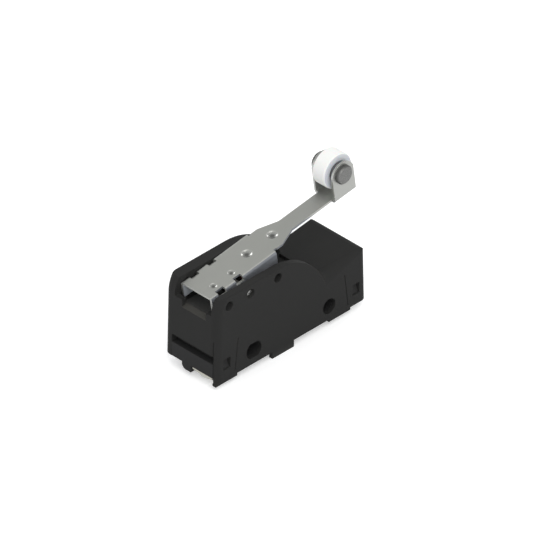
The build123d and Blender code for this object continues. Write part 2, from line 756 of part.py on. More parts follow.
roller_centre = (case_mid + roller_x, 0, roller_height)
roller_axis = Axis(roller_centre, (0, 1, 0))
roller_section = Plane(origin=roller_centre, x_dir=(0, 1, 0), z_dir=(1, 0, 0))
with BuildPart() as roller:
    with BuildSketch(roller_section):
        with BuildLine():
            rim = roller_radius
            edge = roller_width / 2
            hub = ear_gap / 2 - 4 * fit_gap
            bore = roller_pin_radius + roller_play
            Polyline((0, bore), (hub, bore), (hub, roller_hub_radius), (edge, roller_hub_radius),
                     (edge, rim - roller_edge))
            Polyline((edge, rim - roller_edge), (edge - 0.3 * roller_edge, rim - 0.3 * roller_edge),
                     (edge - roller_edge, rim), (0, rim), (0, bore))
        make_face()
        mirror(about=Plane.YZ)
    revolve(axis=roller_axis)
roller.part.label = "roller"

with BuildPart() as roller_pin:
    with BuildSketch(roller_section):
        with BuildLine():
            head_out = ear_outer + rivet_head_height
            bevel = 0.35
            Polyline((0, 0), (0, roller_pin_radius), (ear_outer, roller_pin_radius),
                     (ear_outer, rivet_head_radius), (head_out - bevel, rivet_head_radius),
                     (head_out, rivet_head_radius - bevel), (head_out, 0), (0, 0))
        make_face()
        mirror(about=Plane.YZ)
    revolve(axis=roller_axis)
roller_pin.part.label = "roller_pin"

os.makedirs("parts", exist_ok=True)
parts = [housing, terminal_base, hinge_pin, lever, roller, roller_pin, plunger, contact_blade, snap_spring,
         moving_contact, common_terminal, normally_open_terminal, normally_closed_terminal, open_contact,
         closed_contact]
for piece in parts:
    export_step(piece.part, f"parts/{piece.part.label}.step")
for name, x in terminal_x.items():
    screw, clamp = screw_stack(x)
    screw.label = f"{name}_screw"
    clamp.label = f"{name}_clamp"
    export_step(screw, f"parts/{screw.label}.step")
    export_step(clamp, f"parts/{clamp.label}.step")
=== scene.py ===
from math import atan, cos, pi, radians, sin

import bmesh
import bpy
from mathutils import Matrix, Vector


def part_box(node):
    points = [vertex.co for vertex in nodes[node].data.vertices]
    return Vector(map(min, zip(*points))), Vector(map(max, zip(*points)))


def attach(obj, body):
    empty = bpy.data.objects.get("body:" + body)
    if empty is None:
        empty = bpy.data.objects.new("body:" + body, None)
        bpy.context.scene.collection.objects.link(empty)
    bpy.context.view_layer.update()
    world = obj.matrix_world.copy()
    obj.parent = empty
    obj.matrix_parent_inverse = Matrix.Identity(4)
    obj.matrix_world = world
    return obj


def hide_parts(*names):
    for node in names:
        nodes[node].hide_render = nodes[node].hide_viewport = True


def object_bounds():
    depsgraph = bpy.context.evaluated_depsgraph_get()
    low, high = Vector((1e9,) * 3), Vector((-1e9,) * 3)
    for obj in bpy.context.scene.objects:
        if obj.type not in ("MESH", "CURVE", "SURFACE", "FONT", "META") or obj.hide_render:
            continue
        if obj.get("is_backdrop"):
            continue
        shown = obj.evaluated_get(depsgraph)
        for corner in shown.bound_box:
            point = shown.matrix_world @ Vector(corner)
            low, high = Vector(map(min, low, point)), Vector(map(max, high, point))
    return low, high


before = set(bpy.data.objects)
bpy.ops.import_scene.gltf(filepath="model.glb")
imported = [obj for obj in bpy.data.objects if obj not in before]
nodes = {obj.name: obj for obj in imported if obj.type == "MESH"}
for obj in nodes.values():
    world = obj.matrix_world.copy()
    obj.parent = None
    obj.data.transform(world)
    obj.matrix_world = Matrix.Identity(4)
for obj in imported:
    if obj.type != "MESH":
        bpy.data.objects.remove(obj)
cad_low, cad_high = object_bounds()
mm = 0.001


# Case
# The case is one moulding in black thermoset plastic with two cheeks beside the lever.
# Its skin is matt from the mould; its edges are painted a shade lighter as a painted highlight, and its
# recesses are painted lighter as painted fill light.
def add_node(tree, kind, inputs=None, **settings):
    """Adds a node; inputs maps a socket's name to a value or to the socket that feeds it."""
    node = tree.nodes.new(kind)
    for name, value in settings.items():
        setattr(node, name, value)
    for name, value in (inputs or {}).items():
        if isinstance(value, bpy.types.NodeSocket):
            tree.links.new(value, node.inputs[name])
        else:
            node.inputs[name].default_value = value
    return node


def maths(tree, operation, first, second=0.0):
    """Result of one sum on two values or sockets."""
    node = tree.nodes.new("ShaderNodeMath")
    node.operation = operation
    for socket, value in zip(node.inputs, (first, second)):
        if isinstance(value, bpy.types.NodeSocket):
            tree.links.new(value, socket)
        else:
            socket.default_value = value
    return node.outputs[0]


def vector_maths(tree, operation, first, second=None):
    """Result of one sum on positions or directions: a number for a length or a dot product."""
    node = tree.nodes.new("ShaderNodeVectorMath")
    node.operation = operation
    for socket, value in zip(node.inputs, (first, second)):
        if isinstance(value, bpy.types.NodeSocket):
            tree.links.new(value, socket)
        elif value is not None:
            socket.default_value = value
    return node.outputs["Value" if operation in ("DOT_PRODUCT", "DISTANCE", "LENGTH") else "Vector"]


def tinted(tree, share, under, over):
    """Colour that goes from one to the other; each is a colour or the socket that feeds it."""
    blend = add_node(tree, "ShaderNodeMix", {"Factor": share}, data_type="RGBA")
    for label, value in (("A", under), ("B", over)):
        if isinstance(value, bpy.types.NodeSocket):
            tree.links.new(value, blend.inputs[label])
        else:
            blend.inputs[label].default_value = value
    return blend.outputs["Result"]


def ramped(tree, value, start, end):
    """Mask that rises from 0 at the start to 1 at the end."""
    ramp = add_node(tree, "ShaderNodeMapRange",
                    {"Value": value, "From Min": start, "From Max": end, "To Min": 0.0, "To Max": 1.0})
    return ramp.outputs["Result"]


def split(tree, direction):
    """X, Y and Z outputs of a position or a direction."""
    parts = add_node(tree, "ShaderNodeSeparateXYZ", {"Vector": direction})
    return parts.outputs


def object_place(tree):
    """Position on the object, in its own metres."""
    return tree.nodes.new("ShaderNodeTexCoord").outputs["Object"]


def between(tree, place, low, high):
    """Mask that is 1 inside a box; None leaves a side of the box open."""
    mask = 1.0
    for test, corner in (("GREATER_THAN", low), ("LESS_THAN", high)):
        for axis, limit in zip("XYZ", corner):
            if limit is not None:
                mask = maths(tree, "MULTIPLY", mask, maths(tree, test, place[axis], limit))
    return mask


def shader_group(name, inputs, outputs):
    """Empty shader group with its sockets; returns the tree and its two end nodes."""
    tree = bpy.data.node_groups.new(name, "ShaderNodeTree")
    for label, kind, value in inputs:
        socket = tree.interface.new_socket(label, in_out="INPUT", socket_type=kind)
        socket.default_value = value
    for label, kind in outputs:
        tree.interface.new_socket(label, in_out="OUTPUT", socket_type=kind)
    return tree, tree.nodes.new("NodeGroupInput"), tree.nodes.new("NodeGroupOutput")


def skin_material(name, group, values, constants):
    """Principled material whose colour, roughness and normal come from a group placed in it."""
    made = bpy.data.materials.new(name)
    made.use_nodes = True
    tree = made.node_tree
    skin = tree.nodes.new("ShaderNodeGroup")
    skin.node_tree = group
    for label, value in values.items():
        skin.inputs[label].default_value = value
    surface = tree.nodes["Principled BSDF"]
    tree.links.new(skin.outputs["Colour"], surface.inputs["Base Color"])
    tree.links.new(skin.outputs["Roughness"], surface.inputs["Roughness"])
    tree.links.new(skin.outputs["Normal"], surface.inputs["Normal"])
    for label, value in constants.items():
        surface.inputs[label].default_value = value
    return made


def finish_with(node, material):
    """Gives a frame node its material in every slot."""
    part = nodes[node]
    if not part.material_slots:
        part.data.materials.append(material)
    for place in part.material_slots:
        place.material = material


COLOUR, NUMBER, DIRECTION = "NodeSocketColor", "NodeSocketFloat", "NodeSocketVector"
skin_outputs = [("Colour", COLOUR), ("Roughness", NUMBER), ("Normal", DIRECTION)]

# The soft edge rounds the shading normal at sharp edges and gives a mask of them, which the skins below use
# to paint a highlight along every edge.
edge_tree, edge_in, edge_out = shader_group(
    "soft edge", [("Radius", NUMBER, 0.1 * mm)], [("Normal", DIRECTION), ("Edge", NUMBER)])
edge_gain = 5.0
rounded = add_node(edge_tree, "ShaderNodeBevel", {"Radius": edge_in.outputs["Radius"]}, samples=8)
flat = edge_tree.nodes.new("ShaderNodeNewGeometry")
agree = vector_maths(edge_tree, "DOT_PRODUCT", rounded.outputs["Normal"], flat.outputs["Normal"])
turned_away = maths(edge_tree, "MULTIPLY", maths(edge_tree, "SUBTRACT", 1.0, agree), edge_gain)
edge_tree.links.new(rounded.outputs["Normal"], edge_out.inputs["Normal"])
edge_tree.links.new(maths(edge_tree, "MINIMUM", turned_away, 1.0), edge_out.inputs["Edge"])


def soft_edge(tree, radius):
    """Places the soft edge group and returns its normal and its edge mask."""
    edge = add_node(tree, "ShaderNodeGroup", node_tree=edge_tree)
    tree.links.new(radius, edge.inputs["Radius"])
    return edge.outputs["Normal"], edge.outputs["Edge"]


moulded_tree, moulded_in, moulded_out = shader_group(
    "moulded skin",
    [("Colour", COLOUR, (0.02, 0.02, 0.02, 1)), ("Edge Colour", COLOUR, (0.03, 0.03, 0.03, 1)),
     ("Roughness", NUMBER, 0.5), ("Grain", NUMBER, 0.12 * mm), ("Depth", NUMBER, 0.1),
     ("Edge Radius", NUMBER, 0.1 * mm), ("Painted Fill Colour", COLOUR, (0.02, 0.02, 0.02, 1)),
     ("Painted Fill", NUMBER, 0.0), ("Painted Fill Reach", NUMBER, 2 * mm)], skin_outputs)
flow_scale = 140.0
flow_share = 0.3
rough_spread = 0.2
grain_height = 0.02 * mm
place = object_place(moulded_tree)
grain = add_node(moulded_tree, "ShaderNodeTexNoise",
                 {"Vector": place, "Scale": maths(moulded_tree, "DIVIDE", 1.0, moulded_in.outputs["Grain"]),
                  "Detail": 3.0, "Roughness": 0.55})
flow = add_node(moulded_tree, "ShaderNodeTexNoise", {"Vector": place, "Scale": flow_scale, "Detail": 2.0})
edge_normal, edge_mask = soft_edge(moulded_tree, moulded_in.outputs["Edge Radius"])
flowed = tinted(moulded_tree, maths(moulded_tree, "MULTIPLY", flow.outputs["Fac"], flow_share),
                moulded_in.outputs["Colour"], moulded_in.outputs["Edge Colour"])
lit_edge = tinted(moulded_tree, edge_mask, flowed, moulded_in.outputs["Edge Colour"])
# Where ambient occlusion finds a recess, the colour is painted lighter towards the fill colour, as painted
# fill light that lifts the shade there.
corners = add_node(moulded_tree, "ShaderNodeAmbientOcclusion",
                   {"Distance": moulded_in.outputs["Painted Fill Reach"]}, samples=6)
hidden = maths(moulded_tree, "MULTIPLY", maths(moulded_tree, "SUBTRACT", 1.0, corners.outputs["AO"]),
               moulded_in.outputs["Painted Fill"])
painted_fill_tone = tinted(moulded_tree, hidden, lit_edge, moulded_in.outputs["Painted Fill Colour"])
unevenness = maths(moulded_tree, "MULTIPLY", maths(moulded_tree, "SUBTRACT", grain.outputs["Fac"], 0.5),
                   rough_spread)
grain_bump = add_node(moulded_tree, "ShaderNodeBump",
                      {"Strength": moulded_in.outputs["Depth"], "Distance": grain_height,
                       "Height": grain.outputs["Fac"], "Normal": edge_normal})
moulded_tree.links.new(painted_fill_tone, moulded_out.inputs["Colour"])
moulded_tree.links.new(maths(moulded_tree, "ADD", moulded_in.outputs["Roughness"], unevenness),
                       moulded_out.inputs["Roughness"])
moulded_tree.links.new(grain_bump.outputs["Normal"], moulded_out.inputs["Normal"])

case_black = skin_material(
    "case black", moulded_tree,
    {"Colour": (0.0225, 0.0225, 0.022, 1), "Edge Colour": (0.025, 0.025, 0.0245, 1), "Roughness": 0.62,
     "Grain": 0.16 * mm, "Depth": 0.25, "Edge Radius": 0.12 * mm, "Painted Fill": 1.0,
     "Painted Fill Colour": (0.05, 0.05, 0.048, 1)},
    {"Specular IOR Level": 0.1})

# The sloped sill in the end wall is painted paler where it faces up, as painted light, and the hollow behind
# it is painted lighter, as painted fill light.
hollow_start, hollow_end, hollow_half = -36.4 * mm, -26 * mm, 4.6 * mm
sill_low, sill_high = 12.7 * mm, 13.75 * mm
hollow_low, hollow_high = 12.5 * mm, 17.5 * mm
facing_up = 0.5
sill_painted_light = (0.054, 0.0525, 0.048, 1)
hollow_painted_fill = (0.075, 0.075, 0.072, 1)
tree = case_black.node_tree
surface = tree.nodes["Principled BSDF"]
where = split(tree, object_place(tree))
true_way = split(tree, tree.nodes.new("ShaderNodeNewGeometry").outputs["True Normal"])
on_sill = maths(tree, "MULTIPLY", maths(tree, "GREATER_THAN", true_way["Z"], facing_up),
                between(tree, where, (None, None, sill_low), (hollow_start, None, sill_high)))
in_hollow = between(tree, where, (hollow_start, -hollow_half, hollow_low),
                    (hollow_end, hollow_half, hollow_high))
moulding = surface.inputs["Base Color"].links[0].from_socket
sill_lit = tinted(tree, on_sill, moulding, sill_painted_light)
tree.links.new(tinted(tree, in_hollow, sill_lit, hollow_painted_fill), surface.inputs["Base Color"])
finish_with("housing", case_black)


# Terminal base
# The base is a second moulding in the same black plastic, snapped into the open side of the case.
# It is a little smoother than the case, because it is a thinner part from its own mould.
# Its recesses are painted lighter in the same way as the case's, as painted fill light.
base_black = skin_material(
    "base black", moulded_tree,
    {"Colour": (0.0215, 0.0215, 0.022, 1), "Edge Colour": (0.0235, 0.0235, 0.0235, 1), "Roughness": 0.55,
     "Grain": 0.12 * mm, "Depth": 0.2, "Edge Radius": 0.08 * mm, "Painted Fill": 1.0,
     "Painted Fill Colour": (0.045, 0.045, 0.044, 1)},
    {"Specular IOR Level": 0.12})
finish_with("terminal_base", base_black)


# Terminals and fixed contacts
# Each terminal is a strip of plated brass, folded up through the base to carry a silver contact.
# Rolling leaves a fine straight grain along the strip, and the edges are painted a shade brighter, partly for
# the bright sheared edge and partly as a painted highlight.
rolled_tree, rolled_in, rolled_out = shader_group(
    "rolled skin",
    [("Colour", COLOUR, (0.5, 0.5, 0.5, 1)), ("Edge Colour", COLOUR, (0.6, 0.6, 0.6, 1)),
     ("Roughness", NUMBER, 0.4), ("Grain", NUMBER, 0.05 * mm), ("Stretch", NUMBER, 30.0),
     ("Slope", NUMBER, 0.0), ("Depth", NUMBER, 0.1), ("Edge Radius", NUMBER, 0.06 * mm)], skin_outputs)
cloud_scale = 260.0
cloud_share = 0.25
streak_spread = 0.22
streak_height = 0.01 * mm
place = object_place(rolled_tree)
slope = add_node(rolled_tree, "ShaderNodeCombineXYZ", {"Y": rolled_in.outputs["Slope"]})
level = add_node(rolled_tree, "ShaderNodeVectorRotate",
                 {"Vector": place, "Rotation": slope.outputs["Vector"]}, rotation_type="EULER_XYZ")
fine = maths(rolled_tree, "DIVIDE", 1.0, rolled_in.outputs["Grain"])
coarse = maths(rolled_tree, "DIVIDE", fine, rolled_in.outputs["Stretch"])
sizes = add_node(rolled_tree, "ShaderNodeCombineXYZ", {"X": coarse, "Y": fine, "Z": fine})
drawn = vector_maths(rolled_tree, "MULTIPLY", level.outputs["Vector"], sizes.outputs["Vector"])
streaks = add_node(rolled_tree, "ShaderNodeTexNoise",
                   {"Vector": drawn, "Scale": 1.0, "Detail": 3.0, "Roughness": 0.6})
clouds = add_node(rolled_tree, "ShaderNodeTexNoise", {"Vector": place, "Scale": cloud_scale, "Detail": 3.0})
edge_normal, edge_mask = soft_edge(rolled_tree, rolled_in.outputs["Edge Radius"])
toned = tinted(rolled_tree, maths(rolled_tree, "MULTIPLY", clouds.outputs["Fac"], cloud_share),
               rolled_in.outputs["Colour"], rolled_in.outputs["Edge Colour"])
lit_edge = tinted(rolled_tree, edge_mask, toned, rolled_in.outputs["Edge Colour"])
streak_share = maths(rolled_tree, "MULTIPLY", maths(rolled_tree, "SUBTRACT", streaks.outputs["Fac"], 0.5),
                     streak_spread)
streak_bump = add_node(rolled_tree, "ShaderNodeBump",
                       {"Strength": rolled_in.outputs["Depth"], "Distance": streak_height,
                        "Height": streaks.outputs["Fac"], "Normal": edge_normal})
rolled_tree.links.new(lit_edge, rolled_out.inputs["Colour"])
rolled_tree.links.new(maths(rolled_tree, "ADD", rolled_in.outputs["Roughness"], streak_share),
                      rolled_out.inputs["Roughness"])
rolled_tree.links.new(streak_bump.outputs["Normal"], rolled_out.inputs["Normal"])

terminal_brass = skin_material(
    "terminal plating", rolled_tree,
    {"Colour": (0.60, 0.585, 0.51, 1), "Edge Colour": (0.72, 0.70, 0.62, 1), "Roughness": 0.34,
     "Grain": 0.06 * mm, "Depth": 0.2},
    {"Metallic": 1.0})
contact_silver = skin_material(
    "contact silver", rolled_tree,
    {"Colour": (0.80, 0.79, 0.76, 1), "Edge Colour": (0.88, 0.87, 0.84, 1), "Roughness": 0.26,
     "Grain": 0.04 * mm, "Stretch": 3.0, "Depth": 0.1},
    {"Metallic": 1.0})
for strip in ("common_terminal", "normally_open_terminal", "normally_closed_terminal"):
    finish_with(strip, terminal_brass)
for rivet in ("open_contact", "closed_contact"):
    finish_with(rivet, contact_silver)


# Clamp plates
# A square pressed washer of zinc-plated steel lies under each screw head and holds the wire.
# Zinc plating is bright and faintly mottled.
clamp_steel = skin_material(
    "clamp zinc", rolled_tree,
    {"Colour": (0.56, 0.56, 0.53, 1), "Edge Colour": (0.70, 0.70, 0.67, 1), "Roughness": 0.36,
     "Grain": 0.12 * mm, "Stretch": 2.0, "Depth": 0.15},
    {"Metallic": 1.0})
terminals = ("common", "open", "closed")
for terminal in terminals:
    finish_with(f"{terminal}_clamp", clamp_steel)


# Blade and its spring
# The moving blade is a strip of spring copper, with a bowed strip across its window and a silver
# contact riveted through its free end. The blade hangs in the fork of the common terminal.
blade_copper = skin_material(
    "blade copper", rolled_tree,
    {"Colour": (0.66, 0.42, 0.25, 1), "Edge Colour": (0.78, 0.55, 0.36, 1), "Roughness": 0.3,
     "Grain": 0.05 * mm, "Depth": 0.15},
    {"Metallic": 1.0})
finish_with("contact_blade", blade_copper)
finish_with("snap_spring", blade_copper)
finish_with("moving_contact", contact_silver)


# Plunger
# The plunger is a small dark red moulding that passes the lever's push to the blade.
# It slides in a guide in the case's floor, under the lever's large dimple.
plunger_red = skin_material(
    "plunger red", moulded_tree,
    {"Colour": (0.07, 0.012, 0.010, 1), "Edge Colour": (0.10, 0.02, 0.017, 1), "Roughness": 0.4,
     "Grain": 0.1 * mm, "Depth": 0.15, "Edge Radius": 0.06 * mm},
    {"Specular IOR Level": 0.4})
finish_with("plunger", plunger_red)


# Lever
# The lever is one folded sheet of stainless steel: a channel on the hinge pin, a long arm, and a
# fork at its end for the roller. The sheet has a satin rolled grain along the arm.
lever_slope = atan(0.1396)
lever_height = 21.55 * mm
case_middle = Vector((-12.7 * mm, 0, 0))
# each dimple's place along and across the channel, and its radius, in millimetres
dimples = [(-6.45, 0.0, 1.5), (2.15, 0.0, 1.5), (-19.6, -1.95, 1.0), (-13.6, -1.95, 1.0)]
lever_steel = skin_material(
    "lever satin steel", rolled_tree,
    {"Colour": (0.47, 0.475, 0.455, 1), "Edge Colour": (0.58, 0.585, 0.565, 1), "Roughness": 0.5,
     "Grain": 0.045 * mm, "Stretch": 40.0, "Slope": lever_slope, "Depth": 0.12,
     "Edge Radius": 0.08 * mm},
    {"Metallic": 1.0})
# Each dimple is painted darker in its middle as painted shade, and paler and glossier in a ring near its rim
# as a painted highlight; the ears' cut edges share that pale steel.
burnish_and_highlight_steel = (0.52, 0.525, 0.51, 1)
dimple_painted_shade = (0.19, 0.19, 0.185, 1)
shade_from, shade_full = 0.66, 0.4
rim_from, rim_full = 0.92, 0.8
tree = lever_steel.node_tree
surface = tree.nodes["Principled BSDF"]
place = object_place(tree)
dimple_shade = 0.0
rim_highlight = 0.0
for x, y, radius in dimples:
    bottom = case_middle + Vector((x * mm, y * mm, lever_height + sin(lever_slope) * x * mm))
    away = vector_maths(tree, "DISTANCE", place, bottom)
    reach = radius * mm
    dimple_shade = maths(tree, "MAXIMUM", dimple_shade, ramped(tree, away, shade_from * reach, shade_full * reach))
    rim_highlight = maths(tree, "MAXIMUM", rim_highlight, ramped(tree, away, rim_from * reach, rim_full * reach))
sheet_colour = surface.inputs["Base Color"].links[0].from_socket
bright_rim = tinted(tree, rim_highlight, sheet_colour, burnish_and_highlight_steel)
dimple_shaded = tinted(tree, dimple_shade, bright_rim, dimple_painted_shade)

# The cut edge round each ear is glossier and painted paler, partly for the burnish of the blanking die and
# partly as a painted highlight.
ear_low = 24 * mm
ear_inside = 2.85 * mm
edge_turn = 0.4
where = split(tree, place)
turned_way = split(tree, tree.nodes.new("ShaderNodeNewGeometry").outputs["Normal"])
sideways = maths(tree, "ABSOLUTE", turned_way["Y"])
on_ear = maths(tree, "MULTIPLY", maths(tree, "GREATER_THAN", where["Z"], ear_low),
               maths(tree, "GREATER_THAN", maths(tree, "ABSOLUTE", where["Y"]), ear_inside))
cut_edge = maths(tree, "MULTIPLY", maths(tree, "LESS_THAN", sideways, edge_turn), on_ear)
ear_burnish_and_highlight = tinted(tree, cut_edge, dimple_shaded, burnish_and_highlight_steel)

# The folded flanges are painted two tones and are less metallic than the arm: their inward faces pale
# blue-grey as a painted reflection, their outward faces dark as painted shade.
arm_low = 23 * mm
flange_turn = 0.6
outer_painted_shade = (0.20, 0.21, 0.23, 1)
inner_painted_reflection = (0.60, 0.63, 0.67, 1)
skin_dullness = 0.75
on_flange = maths(tree, "MULTIPLY", maths(tree, "LESS_THAN", where["Z"], arm_low),
                  maths(tree, "GREATER_THAN", sideways, flange_turn))
inward = maths(tree, "LESS_THAN", maths(tree, "MULTIPLY", where["Y"], turned_way["Y"]), 0.0)
flange_painted_tone = tinted(tree, inward, outer_painted_shade, inner_painted_reflection)
tree.links.new(tinted(tree, on_flange, ear_burnish_and_highlight, flange_painted_tone), surface.inputs["Base Color"])
metal_share = maths(tree, "SUBTRACT", 1.0, maths(tree, "MULTIPLY", on_flange, skin_dullness))
tree.links.new(metal_share, surface.inputs["Metallic"])
glossy_roughness = 0.2
sheet_rough = surface.inputs["Roughness"].links[0].from_socket
worn = add_node(tree, "ShaderNodeMix",
                {"Factor": maths(tree, "MAXIMUM", cut_edge, rim_highlight), "A": sheet_rough, "B": glossy_roughness},
                data_type="FLOAT")
tree.links.new(worn.outputs["Result"], surface.inputs["Roughness"])
finish_with("lever", lever_steel)


# Hinge pin and rivet
# Both are turned steel: the hinge pin lies in its bore through the case, and the rivet through the
# fork is the roller's axle, headed over outside both ears. The tool leaves fine rings on each end.
axle_tree, axle_in, axle_out = shader_group(
    "about the axle", [("Centre", DIRECTION, (0, 0, 0))], [("Offset", DIRECTION), ("Distance", NUMBER)])
across_axle = (1, 0, 1)
offset = vector_maths(axle_tree, "SUBTRACT", object_place(axle_tree), axle_in.outputs["Centre"])
from_axle = vector_maths(axle_tree, "LENGTH", vector_maths(axle_tree, "MULTIPLY", offset, across_axle))
axle_tree.links.new(offset, axle_out.inputs["Offset"])
axle_tree.links.new(from_axle, axle_out.inputs["Distance"])

turned_tree, turned_in, turned_out = shader_group(
    "turned skin",
    [("Colour", COLOUR, (0.5, 0.5, 0.5, 1)), ("Edge Colour", COLOUR, (0.6, 0.6, 0.6, 1)),
     ("Roughness", NUMBER, 0.35), ("Centre", DIRECTION, (0, 0, 0)), ("Ring", NUMBER, 0.1 * mm),
     ("Depth", NUMBER, 0.2), ("Edge Radius", NUMBER, 0.06 * mm), ("Rim Radius", NUMBER, 1.0),
     ("Painted Rim Shade", COLOUR, (0.1, 0.1, 0.1, 1)), ("Stain", NUMBER, 0.25)], skin_outputs)
ring_turn = 0.314
speck_scale = 3200.0
speck_low, speck_high = 0.38, 0.62
ring_spread = 0.12
ring_height = 0.01 * mm
about = add_node(turned_tree, "ShaderNodeGroup", node_tree=axle_tree)
turned_tree.links.new(turned_in.outputs["Centre"], about.inputs["Centre"])
rings = add_node(turned_tree, "ShaderNodeTexWave",
                 {"Vector": about.outputs["Offset"], "Distortion": 0.6, "Detail": 2.0,
                  "Scale": maths(turned_tree, "DIVIDE", ring_turn, turned_in.outputs["Ring"])},
                 wave_type="RINGS", rings_direction="Y")
specks = add_node(turned_tree, "ShaderNodeTexNoise",
                  {"Vector": object_place(turned_tree), "Scale": speck_scale, "Detail": 1.0})
stain = maths(turned_tree, "MULTIPLY", ramped(turned_tree, specks.outputs["Fac"], speck_low, speck_high),
              turned_in.outputs["Stain"])
# Past the rim radius, on the side of a head, the colour is painted darker as painted shade.
on_rim = maths(turned_tree, "GREATER_THAN", about.outputs["Distance"], turned_in.outputs["Rim Radius"])
edge_normal, edge_mask = soft_edge(turned_tree, turned_in.outputs["Edge Radius"])
toned = tinted(turned_tree, stain, turned_in.outputs["Colour"], turned_in.outputs["Edge Colour"])
edged = tinted(turned_tree, edge_mask, toned, turned_in.outputs["Edge Colour"])
lit_edge = tinted(turned_tree, on_rim, edged, turned_in.outputs["Painted Rim Shade"])
ring_share = maths(turned_tree, "MULTIPLY", maths(turned_tree, "SUBTRACT", rings.outputs["Fac"], 0.5),
                   ring_spread)
ring_bump = add_node(turned_tree, "ShaderNodeBump",
                     {"Strength": turned_in.outputs["Depth"], "Distance": ring_height,
                      "Height": rings.outputs["Fac"], "Normal": edge_normal})
turned_tree.links.new(lit_edge, turned_out.inputs["Colour"])
turned_tree.links.new(maths(turned_tree, "ADD", turned_in.outputs["Roughness"], ring_share),
                      turned_out.inputs["Roughness"])
turned_tree.links.new(ring_bump.outputs["Normal"], turned_out.inputs["Normal"])


def middle_of(node):
    """Middle of a node's box."""
    low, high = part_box(node)
    return (Vector(low) + Vector(high)) / 2


pin_steel = skin_material(
    "pin steel", turned_tree,
    {"Colour": (0.72, 0.72, 0.70, 1), "Edge Colour": (0.80, 0.80, 0.78, 1), "Roughness": 0.32,
     "Centre": middle_of("hinge_pin"), "Ring": 0.14 * mm},
    {"Metallic": 1.0})
# The rivet's head is painted darker round its side as painted shade.
rivet_steel = skin_material(
    "rivet steel", turned_tree,
    {"Colour": (0.17, 0.17, 0.165, 1), "Edge Colour": (0.33, 0.33, 0.325, 1), "Roughness": 0.42,
     "Centre": middle_of("roller_pin"), "Ring": 0.16 * mm, "Rim Radius": 2.28 * mm,
     "Painted Rim Shade": (0.15, 0.15, 0.148, 1), "Stain": 0.5},
    {"Metallic": 1.0})
finish_with("hinge_pin", pin_steel)
finish_with("roller_pin", rivet_steel)


# Roller
# The roller is a white nylon wheel that turns on the rivet, with a raised hub at each side.
# It is smooth and slightly glossy, and lets a little light into its edge.
roller_white = skin_material(
    "roller white", moulded_tree,
    {"Colour": (0.86, 0.865, 0.845, 1), "Edge Colour": (0.88, 0.885, 0.87, 1), "Roughness": 0.38,
     "Grain": 0.3 * mm, "Depth": 0.05, "Edge Radius": 0.15 * mm},
    {"Specular IOR Level": 0.4, "Subsurface Weight": 0.1, "Subsurface Scale": 0.3 * mm})
# The side faces are painted a darker blue-grey as painted shade, and a thin ring by the hub is painted dark
# as the painted shadow in the gap against each ear.
hub_from, hub_full = 2.85 * mm, 2.7 * mm
hub_painted_shadow = (0.11, 0.11, 0.115, 1)
face_radius = 4.45 * mm
face_painted_shade = (0.66, 0.68, 0.72, 1)
tree = roller_white.node_tree
surface = tree.nodes["Principled BSDF"]
about = add_node(tree, "ShaderNodeGroup", {"Centre": middle_of("roller")}, node_tree=axle_tree)
nylon = surface.inputs["Base Color"].links[0].from_socket
on_face = maths(tree, "LESS_THAN", about.outputs["Distance"], face_radius)
near_hub = ramped(tree, about.outputs["Distance"], hub_from, hub_full)
face_shaded = tinted(tree, on_face, nylon, face_painted_shade)
tree.links.new(tinted(tree, near_hub, face_shaded, hub_painted_shadow), surface.inputs["Base Color"])
finish_with("roller", roller_white)


# Terminal screws
# Three pan-head screws of zinc-plated steel turn in the threaded plates and press the clamps.
# Each has a crossed slot and a rolled thread, which a helix lays round its core.
screw_zinc = skin_material(
    "screw zinc", rolled_tree,
    {"Colour": (0.62, 0.62, 0.58, 1), "Edge Colour": (0.76, 0.76, 0.72, 1), "Roughness": 0.3,
     "Grain": 0.1 * mm, "Stretch": 2.0, "Depth": 0.12},
    {"Metallic": 1.0})
thread_radius = 1.7 * mm
thread_pitch = 0.6 * mm
thread_depth = 0.32 * mm
thread_start = 0.3 * mm
thread_steps = 28
ridge_sides = 4
slot_width = 0.9 * mm
slot_share = 0.7
slot_reach = 1.3
slot_turns = {"common": 0.35, "open": 1.1, "closed": 0.7}
second_slot = 0.93
dome_share = 0.45
dome_turns = (0.4, 0.8, 1.2, pi / 2)
head_edge = 0.06 * mm
core_taper = 0.25 * mm
screw_sides = 48


def lathe(profile, sides, centre):
    """Mesh turned about the vertical axis through a point, from (radius, height) pairs."""
    shape = bmesh.new()
    rings = []
    for radius, height in profile:
        if radius == 0:
            rings.append([shape.verts.new((centre[0], centre[1], height))])
            continue
        ring = []
        for step in range(sides):
            turn = 2 * pi * step / sides
            spot = (centre[0] + radius * cos(turn), centre[1] + radius * sin(turn), height)
            ring.append(shape.verts.new(spot))
        rings.append(ring)
    for lower, upper in zip(rings, rings[1:]):
        for step in range(sides):
            after = (step + 1) % sides
            corners = [lower[step % len(lower)], lower[after % len(lower)],
                       upper[after % len(upper)], upper[step % len(upper)]]
            shape.faces.new(list(dict.fromkeys(corners)))
    bmesh.ops.recalc_face_normals(shape, faces=shape.faces)
    return shape


